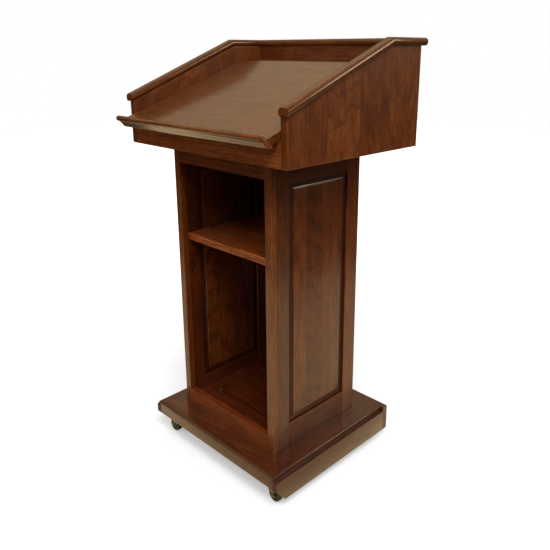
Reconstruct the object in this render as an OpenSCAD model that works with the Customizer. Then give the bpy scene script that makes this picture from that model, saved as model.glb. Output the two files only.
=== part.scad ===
/* [Boards] */
// Thickness of the solid boards
board_t = 19; // [16:0.5:25]
// Facets of a round face
$fn = 96; // [48:12:144]

/* [Column] */
// Width of the column
col_w = 390; // [340:1:480]
// Depth of the column
col_d = 340; // [300:1:380]
// Height of the column, from the base to the desk
col_h = 810; // [650:1:900]
// Width of the face frame's stiles
face_stile_w = 22.5; // [20:0.5:45]
// Height of the face frame's top rail
face_top_h = 48; // [30:1:90]
// Height of the face frame's bottom rail
face_bottom_h = 52; // [30:1:90]
// Width of the side frames' front stile
side_front_w = 43; // [30:1:70]
// Width of the side frames' rear stile
side_rear_w = 50.5; // [30:0.5:70]
// Height of the side frames' top rail
side_top_h = 62; // [40:1:100]
// Height of the side frames' bottom rail
side_bottom_h = 72; // [40:1:120]
// Width of the back frame's stiles
back_stile_w = 52; // [30:1:80]

/* [Raised panels] */
// Thickness of the raised panels
panel_t = 15; // [12:0.5:18]
// Thickness of a panel's tongue
tongue_t = 6; // [4:0.5:9]
// Depth of the grooves that hold a panel
groove_d = 9; // [6:0.5:12]
// Room around a tongue in its groove
tongue_room = 0.2; // [0.1:0.05:0.5]
// Room at the bottom of a groove
groove_room = 1; // [0.5:0.25:3]
// Width of the sloped border of a raised panel
bevel_w = 16; // [8:1:30]

/* [Inside the column] */
// Height of the battens under the floor
batten_h = 15; // [10:1:30]
// Width of the battens under the floor
batten_w = 30; // [20:1:45]
// Distance of a batten's middle from the centre
batten_x = 128; // [90:1:150]
// Height of the shelf's top face above the base
shelf_top_h = 553; // [250:1:700]
// Room at each end of the shelf
shelf_room = 1; // [0.5:0.25:3]
// Diameter of the shelf pins
pin_d = 5; // [4:0.5:8]
// Length of a shelf pin inside the wall
pin_in = 8; // [5:0.5:10]
// Length of a shelf pin under the shelf
pin_out = 10; // [6:0.5:16]
// Distance of the shelf pins from the front and back edges of the side frames
pin_edge = 18; // [12:1:25]
// Pitch of the holes for the shelf pins
pin_pitch = 32; // [25:1:50]
// Holes in a row above the shelf pins, and as many below
pin_row = 3; // [0:1:5]

/* [Base] */
// Height of the base's top face above the floor
base_h = 108; // [95:1:140]
// Width of the base over the side skirts
base_w = 540; // [500:1:640]
// Front face of the base, from the column's centre
base_front = 232; // [215:1:280]
// Rear face of the base, from the column's centre
base_rear = 248; // [230:1:290]
// Height of the skirts' lower edge above the floor
skirt_gap = 30; // [15:1:38]
// Height of the front skirt
front_skirt_h = 40; // [30:1:44]
// Run of the sloped toe cut on the side skirts
toe_run = 34; // [15:1:60]
// Radius of the rounded edge on the skirts' moulding
mould_round = 4; // [2:0.5:5]
// Radius of the hollow on the side skirts' moulding
mould_cove = 9.5; // [6:0.5:11]
// Side of the square corner blocks
block_w = 70; // [60:1:90]

/* [Desk] */
// Width of the desk over its side panels
desk_w = 614; // [560:1:700]
// Front edge of the side panels, from the column's centre
desk_front = 228; // [200:1:260]
// Rear face of the desk, from the column's centre
desk_rear = 270; // [240:1:300]
// Height of the side panels at their front edge
side_low_h = 116; // [100:1:150]
// Height of the side panels at the rear
side_high_h = 262; // [240:1:320]
// Bend of the side panels' top edge, from the column's centre
bend_y = 139; // [90:1:180]

/* [Caps] */
// Width of the cap rails
cap_w = 30; // [24:1:45]
// Overhang of a side cap on the inner side of its panel
cap_lap = 1.5; // [0:0.25:2]
// Thickness of the cap rails
cap_t = 20; // [16:1:28]
// Radius of the cap rails' edges
cap_r = 7; // [3:0.5:7.5]
// Corners cut off the ends of the cap rails
cap_cut = 5; // [2:0.5:6.5]
// Thickness of the glue in the side caps' mitres
glue_line = 0.1; // [0.05:0.05:0.3]
// Length of a side cap in front of its panel
cap_front = 6; // [2:0.5:15]
// Length of a side cap behind the desk
cap_rear = 19; // [12:1:30]

/* [Reading board] */
// Tilt of the reading board, in degrees
tilt = 19.3; // [14:0.1:21]
// Depth of the level ledge behind the reading board
ledge_d = 83; // [50:1:120]
// Height of the ledge's top face above the desk's lower edge
ledge_h = 221; // [200:1:235]
// Length of the reading board down the slope
read_len = 451.2; // [420:0.1:465]
// Gap between the level reading board and the ledge
joint_gap = 0.6; // [0.3:0.1:2]
// Gap between the reading board and what carries it
rest_gap = 0.2; // [0.1:0.05:0.5]
// Room between the reading board and each side panel
read_room = 2.4; // [0.5:0.1:4]
// Side of the cleats under the board and the ledge
cleat_w = 20; // [15:1:30]
// Gap between the cleats under the board and the hinge line
cleat_end = 10; // [5:1:30]
// Radius of the bead along the book lip
bead_r = 7; // [4:0.5:8]
// Distance of the bead's centre in front of the board's end
bead_out = 14; // [12:0.5:18]
// Height of the bead's centre above the board's face
bead_up = 8; // [5:0.5:11]
// Depth of the lip under the board
lip_under = 8; // [4:0.5:12]
// Reach of the lip behind the board's front end
lip_back = 10; // [5:1:20]

/* [Hinges and stays] */
// Diameter of the hinge knuckles
knuckle_d = 8; // [7:0.5:10]
// Diameter of the hinge pins
hinge_pin_d = 4; // [3:0.5:5]
// Length of a hinge
hinge_l = 60; // [45:1:90]
// Width of a hinge leaf
leaf_w = 28; // [22:1:35]
// Thickness of a hinge leaf
leaf_t = 2; // [1.5:0.25:2.5]
// Distance of a hinge's middle from the centre
hinge_x = 190; // [120:1:210]
// Distance of the stays' middle from the centre
stay_in = 30; // [29:1:38]
// Diameter of the stay rods
rod_d = 8; // [6:0.5:9]
// Length of a stay rod from its eye
rod_l = 142; // [138:1:146]
// Room round a stay rod in its guide
rod_room = 0.3; // [0.15:0.05:0.5]
// Distance of the stay's upper pin in front of the hinge
stay_front = 140; // [136:1:144]
// Distance of the stay's upper pin under the board
stay_drop = 12; // [11:0.5:14]
// Distance of the stay's guide in front of the hinge
guide_front = 78; // [74:1:82]
// Distance of the stay's guide under the hinge
guide_drop = 116; // [112:1:118]
// Diameter of the stay's upper pin
stay_pin_d = 6; // [5:0.5:7]
// Diameter of the guides
guide_d = 22; // [20:1:26]
// Diameter of the post that a guide turns on
post_d = 8; // [6:0.5:10]
// Diameter of the clamp knobs
knob_d = 24; // [18:1:30]

/* [Casters] */
// Diameter of the wheels
wheel_d = 41; // [36:1:42]
// Width of the wheels
wheel_w = 18; // [14:1:20]
// Distance of the wheel's axle from the swivel's axis
trail = 21; // [16:0.5:21]
// Height of the casters
caster_h = 60; // [58:1:70]
// Distance of the swivels from the side skirts and the back skirt
caster_in = 44; // [43:1:60]
// Distance of the front swivels from the front skirt
caster_front_in = 21; // [21:1:40]
// Side of the square mounting plates
plate_w = 40; // [38:1:44]
// Thickness of the mounting plates
plate_t = 2.5; // [2:0.25:4]
// Diameter of the ball race under a plate
race_d = 30; // [24:1:32]
// Diameter of the swivel's king pin
king_d = 8; // [6:0.5:10]
// Thickness of the fork's sheet
fork_t = 2.5; // [2:0.25:3]
// Height of the ball race
race_h = 4.7; // [3:0.1:6]
// Diameter of the axles
axle_d = 6; // [5:0.5:8]
// Diameter of the brake pins
brake_pin_d = 3; // [2.5:0.25:4]
// Radial room of the running fits
fit = 0.05; // [0.02:0.01:0.08]
// Gap between faces that slide past each other
slide_gap = 0.3; // [0.2:0.05:0.5]

/* [Screws] */
// Diameter of the wood screws
screw_d = 4; // [3:0.5:5]
// Diameter of the screw heads
screw_head_d = 8; // [6:0.5:9]
// Height of the screw heads
screw_head_h = 2; // [1.5:0.25:2.5]
// Length of the caster screws in the wood
caster_screw_l = 18; // [12:1:25]
// Length of the screws in the desk's bottom and the floor
long_screw_l = 45; // [38:1:50]
// Distance of the desk's side screws from the centre
desk_screw_y = 60; // [20:1:90]
// Distance of the floor's screws from the centre
floor_screw_y = 88; // [40:1:130]
// Spacing of the caster screws
caster_screw_p = 30; // [28:1:32]
// Diameter of the small screws in the hinges and brackets
small_screw_d = 3; // [2.5:0.25:3.5]
// Length of the small screws
small_screw_l = 14; // [8:1:15]

/* [Hidden] */

wood = [0.42, 0.22, 0.11];
wood_dark = [0.33, 0.15, 0.07];
wood_red = [0.45, 0.19, 0.09];
steel = [0.62, 0.62, 0.60];
dark = [0.08, 0.09, 0.08];

// Column
desk_z = base_h + col_h;
col_x = col_w / 2;
col_y = col_d / 2;
wall_x = col_x - board_t;
wall_y = col_y - board_t;
open_front = -wall_y + side_front_w;
open_rear = col_y - side_rear_w;
open_low = base_h + side_bottom_h;
open_high = desk_z - side_top_h;
back_open_x = wall_x - back_stile_w;
groove_t = tongue_t + 2 * tongue_room;
floor_z = base_h + batten_h;
shelf_z = base_h + shelf_top_h - board_t;
pin_y = wall_y - pin_edge;

// Base
skirt_x = base_w / 2 - board_t;
caster_x = skirt_x - caster_in;
caster_front = base_front - board_t - caster_front_in;
caster_rear = base_rear - board_t - caster_in;
plate_z = base_h - board_t;

// Desk
desk_x = desk_w / 2;
inner_x = desk_x - board_t;
slope = atan((side_high_h - side_low_h) / (bend_y + desk_front));
low_z = desk_z + side_low_h;
high_z = desk_z + side_high_h;
cap_in = inner_x - cap_lap;
cap_x = cap_in + cap_w / 2;
ledge_z = desk_z + ledge_h;
ledge_rear = desk_rear - board_t;
ledge_front = ledge_rear - ledge_d;
read_x = inner_x - read_room;
stay_x = inner_x - stay_in;
apron_y = desk_front - board_t;

// Hinge line, and the board's faces above it
under = knuckle_d / 2 + slide_gap;
hinge_z = ledge_z - board_t - under;
knuckle_l = (hinge_l - 2 * slide_gap) / 3;
stay_pin = turned([-stay_front, under - stay_drop]) + [ledge_front, hinge_z];
guide = [ledge_front - guide_front, hinge_z - guide_drop];
rod_angle = atan2(guide[1] - stay_pin[1], guide[0] - stay_pin[0]);
guide_l = rod_d + 18;
lug_t = 3;

// Casters
plate_low = caster_h - plate_t;
crown_top = plate_low - race_h - slide_gap;
crown_low = crown_top - fork_t;
axle_z = wheel_d / 2;
hub_w = wheel_w + 1;
fork_in = hub_w / 2 + slide_gap;
fork_out = fork_in + fork_t;
boss_r = axle_d / 2 + 5;
head_t = 3;
brake_x = 13;
brake_z = crown_low - 4;
knuckle_r = brake_pin_d / 2 + 1.5;

// Height of what carries the tilted reading board, at a distance from the centre
function under_z(y) = hinge_z + under / cos(tilt) + (y - ledge_front) * tan(tilt)
    - rest_gap;
// A point of the level reading board, from the hinge line, after the tilt
function turned(v) = [v[0] * cos(tilt) - v[1] * sin(tilt),
    v[0] * sin(tilt) + v[1] * cos(tilt)];
// Point where the line from p touches the circle round c, on side s
function touch(p, c, r, s) = let (
        d = norm(c - p),
        a = atan2(c[1] - p[1], c[0] - p[0]) + s * asin(r / d)
    ) p + sqrt(d * d - r * r) * [cos(a), sin(a)];

// A box from its two corners
module block(a, b) {
    translate(a) cube(b - a);
}

// A shape drawn in the plane of depth and height, extruded across the width
module across(x0, x1) {
    translate([x0, 0, 0]) rotate([90, 0, 90]) linear_extrude(x1 - x0) children();
}

// The same piece on the left
module left() {
    mirror([1, 0, 0]) children();
}

// A rectangle with round corners, centred in x and standing on y = 0
module round_rect(w, h, r) {
    translate([-w / 2 + r, 0]) square([w - 2 * r, h]);
    translate([-w / 2, r]) square([w, h - 2 * r]);
    for (x = [-w / 2 + r, w / 2 - r], y = [r, h - r]) translate([x, y]) circle(r);
}

// Upright wood screw: the head lies on top of the point at and the shank goes down
module screw_down(at, len) {
    translate([at[0], at[1], at[2] - len]) cylinder(d = screw_d, h = len + screw_head_h);
    translate(at) cylinder(d = screw_head_d, h = screw_head_h);
}

// Hole for the shank of such a screw
module screw_hole(at, len) {
    translate([at[0], at[1], at[2] - len - 1])
        cylinder(d = screw_d + 2 * fit, h = len + 2);
}

// Places of the screws from the desk's bottom into the column
desk_screw_at = concat(
    [for (x = [-1, 1], y = [-desk_screw_y, desk_screw_y])
        [x * (col_x - board_t / 2), y, desk_z + board_t]],
    [for (y = [-1, 1]) [0, y * (col_y - board_t / 2), desk_z + board_t]]);
// Places of the screws through the floor into the base
floor_screw_at = [for (x = [-batten_x, batten_x], y = [-floor_screw_y, floor_screw_y])
    [x, y, floor_z + board_t - screw_head_h]];

module desk_screw_holes() {
    for (at = desk_screw_at) screw_hole(at, long_screw_l);
}

module floor_screw_holes() {
    for (at = floor_screw_at) {
        screw_hole(at, long_screw_l);
        translate(at) cylinder(d = screw_head_d + 2 * fit, h = screw_head_h + 1);
    }
}

// Desk

module side_panel() {
    across(inner_x, desk_x) polygon([[-desk_front, desk_z], [desk_rear, desk_z],
        [desk_rear, high_z], [bend_y, high_z], [-desk_front, low_z]]);
}

module desk_side_left() {
    color(wood) left() side_panel();
}

module desk_side_right() {
    color(wood) side_panel();
}

// Straight cap rail along y from y0 to y1, standing on z = 0, with round ends
module cap_bar(y0, y1) {
    intersection() {
        translate([0, y1, 0]) rotate([90, 0, 0])
            linear_extrude(y1 - y0) round_rect(cap_w, cap_t, cap_r);
        translate([0, y0, -1]) linear_extrude(cap_t + 2)
            clipped(cap_w, y1 - y0, cap_cut);
    }
}

// Half space in front of the mitre at the bend
// A rectangle on the plan with its corners cut off
module clipped(w, l, c) {
    polygon([[-w / 2 + c, 0], [w / 2 - c, 0], [w / 2, c], [w / 2, l - c],
        [w / 2 - c, l], [-w / 2 + c, l], [-w / 2, l - c], [-w / 2, c]]);
}
// Everything in front of the mitre, moved back by half the glue line
module mitre(back) {
    translate([0, bend_y, high_z]) rotate([slope / 2, 0, 0])
        translate([-cap_w, back - desk_w, -desk_w / 2]) cube([2 * cap_w, desk_w, desk_w]);
}

module side_cap() {
    run = (bend_y + desk_front) / cos(slope);
    translate([cap_x, 0, 0]) {
        intersection() {
            translate([0, bend_y, high_z]) rotate([slope, 0, 0])
                cap_bar(-run - cap_front, 2 * cap_t);
            mitre(-glue_line / 2);
        }
        difference() {
            translate([0, 0, high_z]) cap_bar(bend_y - 2 * cap_t, desk_rear + cap_rear);
            mitre(glue_line / 2);
        }
    }
}

module cap_left() {
    color(wood_red) left() side_cap();
}

module cap_right() {
    color(wood_red) side_cap();
}

module cap_back() {
    color(wood_red) translate([-cap_in, desk_rear - board_t / 2, high_z])
        rotate([90, 0, 90]) linear_extrude(2 * cap_in) round_rect(cap_w, cap_t, cap_r);
}

module back_board() {
    color(wood_dark)
        block([-inner_x, ledge_rear, desk_z], [inner_x, desk_rear, high_z]);
}

module apron() {
    color(wood) across(-inner_x, inner_x) polygon([[-desk_front, desk_z],
        [-apron_y, desk_z], [-apron_y, under_z(-apron_y)],
        [-desk_front, under_z(-desk_front)]]);
}

module desk_bottom() {
    color(wood) difference() {
        block([-inner_x, -apron_y, desk_z], [inner_x, ledge_rear, desk_z + board_t]);
        desk_screw_holes();
    }
}

// Places a piece drawn with the reading board level and the hinge line at y and z 0
module in_board() {
    translate([0, ledge_front, hinge_z]) rotate([tilt, 0, 0]) children();
}

// Places a piece drawn from the hinge line
module at_hinge() {
    translate([0, ledge_front, hinge_z]) children();
}

module reading_board() {
    color(wood) in_board() difference() {
        block([-read_x, -joint_gap - read_len, under],
            [read_x, -joint_gap, under + board_t]);
        for (at = leaf_screw_at) small_hole([at[0], -at[1], under]);
        for (at = bracket_screw_at) small_hole(at);
    }
}

// Moulding along the board's front end: a bead on top and a face that leans back below
module book_lip() {
    color(wood_red) in_board() translate([0, -joint_gap - read_len, under + board_t]) {
        translate([-read_x, -bead_out, bead_up]) rotate([0, 90, 0])
            cylinder(h = 2 * read_x, r = bead_r);
        across(-read_x, read_x)
            polygon([[0, 0], [0, -board_t], [lip_back, -board_t],
                [lip_back, -board_t - lip_under], [4, -board_t - lip_under],
                [-6, -board_t - 1], [-11, -8], [-bead_out - 4, bead_up - 3],
                [-bead_out + 3, bead_up + 2]]);
    }
}

module rear_ledge() {
    color(wood) difference() {
        block([-inner_x, ledge_front, ledge_z - board_t],
            [inner_x, ledge_rear, ledge_z]);
        at_hinge() for (at = leaf_screw_at) small_hole([at[0], at[1], under]);
    }
}

module cleat() {
    low = under_z(-apron_y);
    end_y = ledge_front - cleat_end;
    high = under_z(end_y);
    across(inner_x - cleat_w, inner_x) {
        polygon([[-apron_y, low - cleat_w], [-apron_y, low],
            [end_y, high], [end_y, high - cleat_w]]);
        translate([ledge_front, ledge_z - board_t - cleat_w]) square([ledge_d, cleat_w]);
    }
}

module board_cleats() {
    color(wood_dark) {
        cleat();
        left() cleat();
    }
}

// Hinges

// Places of the screws in the hinge leaves, from the hinge line
leaf_screw_at = [for (x = [-hinge_x, hinge_x], k = [-1, 1])
    [x + k * hinge_l / 3, leaf_w * 0.6]];
// Places of the screws in the stays' brackets, on the board's underside
bracket_screw_at = [for (s = [-1, 1], y = [-stay_front - 15, -stay_front + 15])
    [s * (stay_x - rod_d / 2 - 12), y, under]];

// Hole up into the wood for a small screw
module small_hole(at) {
    translate([at[0], at[1], at[2] - 5])
        cylinder(d = small_screw_d + 2 * fit, h = small_screw_l + 5);
}

// Small screw with its head under the plate of thickness t
module small_screw(at, t) {
    translate([at[0], at[1], at[2] - t]) cylinder(d = small_screw_d, h = small_screw_l + t);
    translate([at[0], at[1], at[2] - t - 1.5]) cylinder(d = 2 * small_screw_d, h = 1.5);
}

// Leaf with its knuckles, drawn from the hinge line; the middle is a range of thirds
module leaf(thirds) {
    clear = knuckle_d / 2 + 1;
    for (x = [-hinge_x, hinge_x]) difference() {
        union() {
            block([x - hinge_l / 2, clear, under - leaf_t], [x + hinge_l / 2, leaf_w, under]);
            for (k = thirds) translate([x + k * (knuckle_l + slide_gap) - knuckle_l / 2, 0, 0]) {
                rotate([0, 90, 0]) cylinder(d = knuckle_d, h = knuckle_l);
                translate([0, 0, under - leaf_t]) cube([knuckle_l, clear, leaf_t]);
            }
        }
        translate([x - hinge_l, 0, 0]) rotate([0, 90, 0])
            cylinder(d = hinge_pin_d + 2 * fit, h = 2 * hinge_l);
        for (at = leaf_screw_at) small_hole([at[0], at[1], under - leaf_t]);
    }
}

module hinge_leaves_ledge() {
    color(steel) at_hinge() leaf([-1, 1]);
}

module hinge_leaves_board() {
    color(steel) in_board() mirror([0, 1, 0]) leaf([0]);
}

module hinge_pins() {
    color(steel) at_hinge() for (x = [-hinge_x, hinge_x])
        translate([x - hinge_l / 2, 0, 0]) rotate([0, 90, 0]) {
            cylinder(d = hinge_pin_d, h = hinge_l);
            for (end = [-1.5, hinge_l]) translate([0, 0, end])
                cylinder(d = hinge_pin_d + 2, h = 1.5);
        }
}

module board_screws() {
    color(steel) in_board() {
        for (at = leaf_screw_at) small_screw([at[0], -at[1], under], leaf_t);
        for (at = bracket_screw_at) small_screw(at, lug_t);
    }
}

// Stays

// Plate under the board with a lug and the pin that a rod's eye turns on
module stay_bracket() {
    lug_x = stay_x - rod_d / 2 - slide_gap - lug_t;
    top = under - lug_t;
    difference() {
        block([lug_x - 14, -stay_front - 20, top], [lug_x + lug_t, -stay_front + 20, under]);
        for (at = bracket_screw_at) small_hole([at[0], at[1], top]);
    }
    block([lug_x, -stay_front - 7, under - stay_drop - 6],
        [lug_x + lug_t, -stay_front + 7, under]);
    translate([lug_x, -stay_front, under - stay_drop]) rotate([0, 90, 0]) {
        cylinder(d = stay_pin_d, h = lug_t + rod_d + 2 * slide_gap + 2);
        translate([0, 0, lug_t + rod_d + 2 * slide_gap]) cylinder(d = stay_pin_d + 3, h = 2);
    }
}

module stay_brackets() {
    color(steel) in_board() {
        stay_bracket();
        left() stay_bracket();
    }
}

// Rod with an eye, drawn with the eye on the pin and the rod along +Y
module stay_rod() {
    translate([stay_x, stay_pin[0], stay_pin[1]]) rotate([rod_angle, 0, 0])
        difference() {
            union() {
                rotate([0, 90, 0]) cylinder(d = rod_d + 6, h = rod_d - 1, center = true);
                translate([0, rod_d / 2 + 1, 0]) rotate([-90, 0, 0])
                    cylinder(d = rod_d, h = rod_l - rod_d / 2 - 1);
            }
            rotate([0, 90, 0])
                cylinder(d = stay_pin_d + 2 * fit, h = 2 * rod_d, center = true);
        }
}

module stay_rod_left() {
    color(steel) left() stay_rod();
}

module stay_rod_right() {
    color(steel) stay_rod();
}

// Guide that turns on its post, with the bore for the rod and a knob that clamps it
module stay_guide() {
    inner = -rod_d / 2 - 6;
    translate([stay_x, guide[0], guide[1]]) rotate([rod_angle, 0, 0]) {
        difference() {
            translate([inner, 0, 0]) rotate([0, 90, 0]) cylinder(d = guide_d, h = guide_l);
            rotate([90, 0, 0])
                cylinder(d = rod_d + 2 * rod_room, h = 2 * guide_d, center = true);
            translate([inner - 1, 0, 0]) rotate([0, 90, 0])
                cylinder(d = stay_pin_d + 2 * fit, h = 8);
            translate([inner + guide_l - 10, 0, 0]) rotate([0, 90, 0])
                cylinder(d = post_d + 2 * fit, h = 11);
        }
        translate([inner - 12, 0, 0]) rotate([0, 90, 0]) {
            difference() {
                cylinder(d = knob_d, h = 12 - slide_gap);
                for (a = [0:30:330]) rotate(a) translate([knob_d / 2 + 1, 0, -1])
                    cylinder(d = 5, h = 14);
            }
            cylinder(d = stay_pin_d, h = 17.5);
        }
    }
}

module stay_guide_left() {
    color(dark) left() stay_guide();
}

module stay_guide_right() {
    color(dark) stay_guide();
}

// Plate on the side panel with the post of a guide
module stay_post() {
    post_x = stay_x - rod_d / 2 - 6 + guide_l;
    translate([0, guide[0], guide[1]]) {
        block([inner_x - lug_t, -20, -20], [inner_x, 20, 20]);
        translate([post_x + slide_gap, 0, 0]) rotate([0, 90, 0])
            cylinder(d = guide_d - 4, h = inner_x - post_x - slide_gap);
        translate([post_x - 10 + slide_gap, 0, 0]) rotate([0, 90, 0])
            cylinder(d = post_d, h = inner_x - post_x + 10 - slide_gap);
    }
}

module stay_posts() {
    color(steel) {
        stay_post();
        left() stay_post();
    }
}

// Column

module face_stile() {
    block([col_x - face_stile_w, -col_y, base_h], [col_x, -wall_y, desk_z]);
}

module face_stile_left() {
    color(wood) left() face_stile();
}

module face_stile_right() {
    color(wood) face_stile();
}

module face_top_rail() {
    rail_x = col_x - face_stile_w;
    color(wood) difference() {
        block([-rail_x, -col_y, desk_z - face_top_h], [rail_x, -wall_y, desk_z]);
        desk_screw_holes();
    }
}

module face_bottom_rail() {
    rail_x = col_x - face_stile_w;
    color(wood_red)
        block([-rail_x, -col_y, base_h], [rail_x, -wall_y, base_h + face_bottom_h]);
}

// Groove round the opening of a side frame
module side_groove() {
    translate([wall_x + (board_t - groove_t) / 2, open_front - groove_d,
        open_low - groove_d])
        cube([groove_t, open_rear - open_front + 2 * groove_d,
            open_high - open_low + 2 * groove_d]);
}

// Rows of holes for the shelf pins
module pin_holes() {
    for (y = [-pin_y, pin_y], k = [-pin_row:pin_row])
        translate([wall_x - 1, y, shelf_z - pin_d / 2 + k * pin_pitch])
            rotate([0, 90, 0]) cylinder(d = pin_d + 2 * fit, h = pin_in + 1);
}

module front_stile() {
    difference() {
        block([wall_x, -wall_y, base_h], [col_x, open_front, desk_z]);
        side_groove();
        pin_holes();
    }
}

module rear_stile() {
    difference() {
        block([wall_x, open_rear, base_h], [col_x, col_y, desk_z]);
        side_groove();
        pin_holes();
    }
}

module side_top_rail() {
    difference() {
        block([wall_x, open_front, open_high], [col_x, open_rear, desk_z]);
        side_groove();
        desk_screw_holes();
    }
}

module side_bottom_rail() {
    difference() {
        block([wall_x, open_front, base_h], [col_x, open_rear, open_low]);
        side_groove();
    }
}

// Raised panel for an opening w wide and h high: it lies in the x and y plane,
// centred in all directions, with a tongue round it and a sloped border on both faces
module raised_panel(w, h) {
    out = groove_d - groove_room;
    field_w = w - 2 * bevel_w;
    field_h = h - 2 * bevel_w;
    cube([w + 2 * out, h + 2 * out, tongue_t], center = true);
    intersection() {
        rotate([90, 0, 0]) linear_extrude(h, center = true) polygon([
            [-w / 2, -tongue_t / 2], [-field_w / 2, -panel_t / 2],
            [field_w / 2, -panel_t / 2], [w / 2, -tongue_t / 2],
            [w / 2, tongue_t / 2], [field_w / 2, panel_t / 2],
            [-field_w / 2, panel_t / 2], [-w / 2, tongue_t / 2]]);
        rotate([90, 0, 90]) linear_extrude(w, center = true) polygon([
            [-h / 2, -tongue_t / 2], [-field_h / 2, -panel_t / 2],
            [field_h / 2, -panel_t / 2], [h / 2, -tongue_t / 2],
            [h / 2, tongue_t / 2], [field_h / 2, panel_t / 2],
            [-field_h / 2, panel_t / 2], [-h / 2, tongue_t / 2]]);
    }
}

module side_raised_panel() {
    translate([wall_x + board_t / 2, (open_front + open_rear) / 2,
        (open_low + open_high) / 2])
        rotate([90, 0, 90]) raised_panel(open_rear - open_front, open_high - open_low);
}

module left_front_stile() {
    color(wood) left() front_stile();
}

module left_rear_stile() {
    color(wood) left() rear_stile();
}

module left_rails() {
    color(wood) left() {
        side_top_rail();
        side_bottom_rail();
    }
}

module left_panel() {
    color(wood_dark) left() side_raised_panel();
}

module right_front_stile() {
    color(wood) front_stile();
}

module right_rear_stile() {
    color(wood) rear_stile();
}

module right_rails() {
    color(wood) {
        side_top_rail();
        side_bottom_rail();
    }
}

module right_panel() {
    color(wood_dark) side_raised_panel();
}

// Groove round the opening of the back frame
module back_groove() {
    translate([-back_open_x - groove_d, wall_y + (board_t - groove_t) / 2,
        open_low - groove_d])
        cube([2 * back_open_x + 2 * groove_d, groove_t,
            open_high - open_low + 2 * groove_d]);
}

module back_stile() {
    difference() {
        block([back_open_x, wall_y, base_h], [wall_x, col_y, desk_z]);
        back_groove();
    }
}

module back_stiles() {
    color(wood) {
        back_stile();
        left() back_stile();
    }
}

module back_rails() {
    color(wood) difference() {
        for (z = [[base_h, open_low], [open_high, desk_z]])
            block([-back_open_x, wall_y, z[0]], [back_open_x, col_y, z[1]]);
        back_groove();
        desk_screw_holes();
    }
}

module back_panel() {
    color(wood_dark) translate([0, wall_y + board_t / 2, (open_low + open_high) / 2])
        rotate([90, 0, 0]) raised_panel(2 * back_open_x, open_high - open_low);
}

// Inside

module column_floor() {
    color(wood) difference() {
        block([-wall_x, -wall_y, floor_z], [wall_x, wall_y, floor_z + board_t]);
        floor_screw_holes();
    }
}

module floor_battens() {
    color(wood_dark) difference() {
        for (x = [-batten_x, batten_x]) block([x - batten_w / 2, -wall_y, base_h],
            [x + batten_w / 2, wall_y, floor_z]);
        floor_screw_holes();
    }
}

module shelf() {
    color(wood) block([-wall_x + shelf_room, -wall_y, shelf_z],
        [wall_x - shelf_room, wall_y - shelf_room, shelf_z + board_t]);
}

module shelf_pins() {
    color(steel) for (s = [-1, 1], y = [-pin_y, pin_y])
        translate([s * (wall_x + (pin_in - pin_out) / 2), y, shelf_z - pin_d / 2])
            rotate([0, 90, 0])
                cylinder(d = pin_d, h = pin_in + pin_out, center = true);
}

// Base

module base_top() {
    color(wood) difference() {
        block([-skirt_x, -base_front + board_t, plate_z],
            [skirt_x, base_rear - board_t, base_h]);
        floor_screw_holes();
    }
}

// Side skirt in section: a round on the top edge, a hollow and a small step below it
module skirt_section() {
    round_x = skirt_x + board_t - mould_cove - mould_round - 1.5;
    step_z = base_h - mould_round - mould_cove;
    difference() {
        translate([skirt_x, skirt_gap]) square([board_t, base_h - skirt_gap]);
        translate([round_x, base_h - mould_round]) square(2 * board_t);
        translate([round_x + mould_round, step_z]) square(2 * board_t);
    }
    translate([round_x, base_h - mould_round]) circle(mould_round);
    difference() {
        translate([round_x + mould_round, step_z]) square(mould_cove);
        translate([round_x + mould_round + mould_cove, base_h - mould_round])
            circle(mould_cove);
    }
}

module side_skirt() {
    difference() {
        translate([0, base_rear - board_t, 0]) rotate([90, 0, 0])
            linear_extrude(base_rear + base_front - board_t) skirt_section();
        across(skirt_x - 1, skirt_x + board_t + 1) polygon([
            [-base_front - 1, skirt_gap - 1], [-base_front - 1, base_h - front_skirt_h],
            [-base_front, base_h - front_skirt_h], [-base_front + toe_run, skirt_gap],
            [-base_front + toe_run, skirt_gap - 1]]);
    }
}

module skirt_left() {
    color(wood_red) left() side_skirt();
}

module skirt_right() {
    color(wood_red) side_skirt();
}

module skirt_front() {
    edge = mould_round;
    color(wood_red) across(-skirt_x, skirt_x) {
        translate([-base_front, base_h - front_skirt_h])
            square([board_t, front_skirt_h - edge - 1.5]);
        translate([-base_front + 1.5, base_h - edge - 1.5])
            square([board_t - 1.5, 1.5]);
        translate([-base_front + edge + 1.5, base_h - edge])
            square([board_t - edge - 1.5, edge]);
        intersection() {
            translate([-base_front + edge + 1.5, base_h - edge]) circle(edge);
            translate([-base_front, base_h - edge]) square([board_t, edge]);
        }
    }
}

module skirt_back() {
    color(wood_dark) block([-base_w / 2, base_rear - board_t, skirt_gap],
        [base_w / 2, base_rear, base_h]);
}

// Casters

// Places of the caster screws round a swivel, on the plate's lower face
caster_screw_at = [for (x = [-1, 1], y = [-1, 1])
    [x * caster_screw_p / 2, y * caster_screw_p / 2, plate_low]];

// One of the four casters' places; the wheel trails outward at rest
module at_caster(side, end) {
    translate([side * caster_x, end < 0 ? -caster_front : caster_rear, 0])
        mirror([side < 0 ? 1 : 0, 0, 0]) children();
}

module corner_blocks() {
    color(wood_dark) for (side = [-1, 1], end = [-1, 1]) difference() {
        mirror([side < 0 ? 1 : 0, 0, 0])
            translate([skirt_x - block_w,
                end < 0 ? -base_front + board_t : base_rear - board_t - block_w,
                caster_h])
                cube([block_w, block_w, plate_z - caster_h]);
        at_caster(side, end) for (at = caster_screw_at) translate(at)
            cylinder(d = screw_d + 2 * fit, h = caster_screw_l + plate_t + 1);
    }
}

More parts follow.
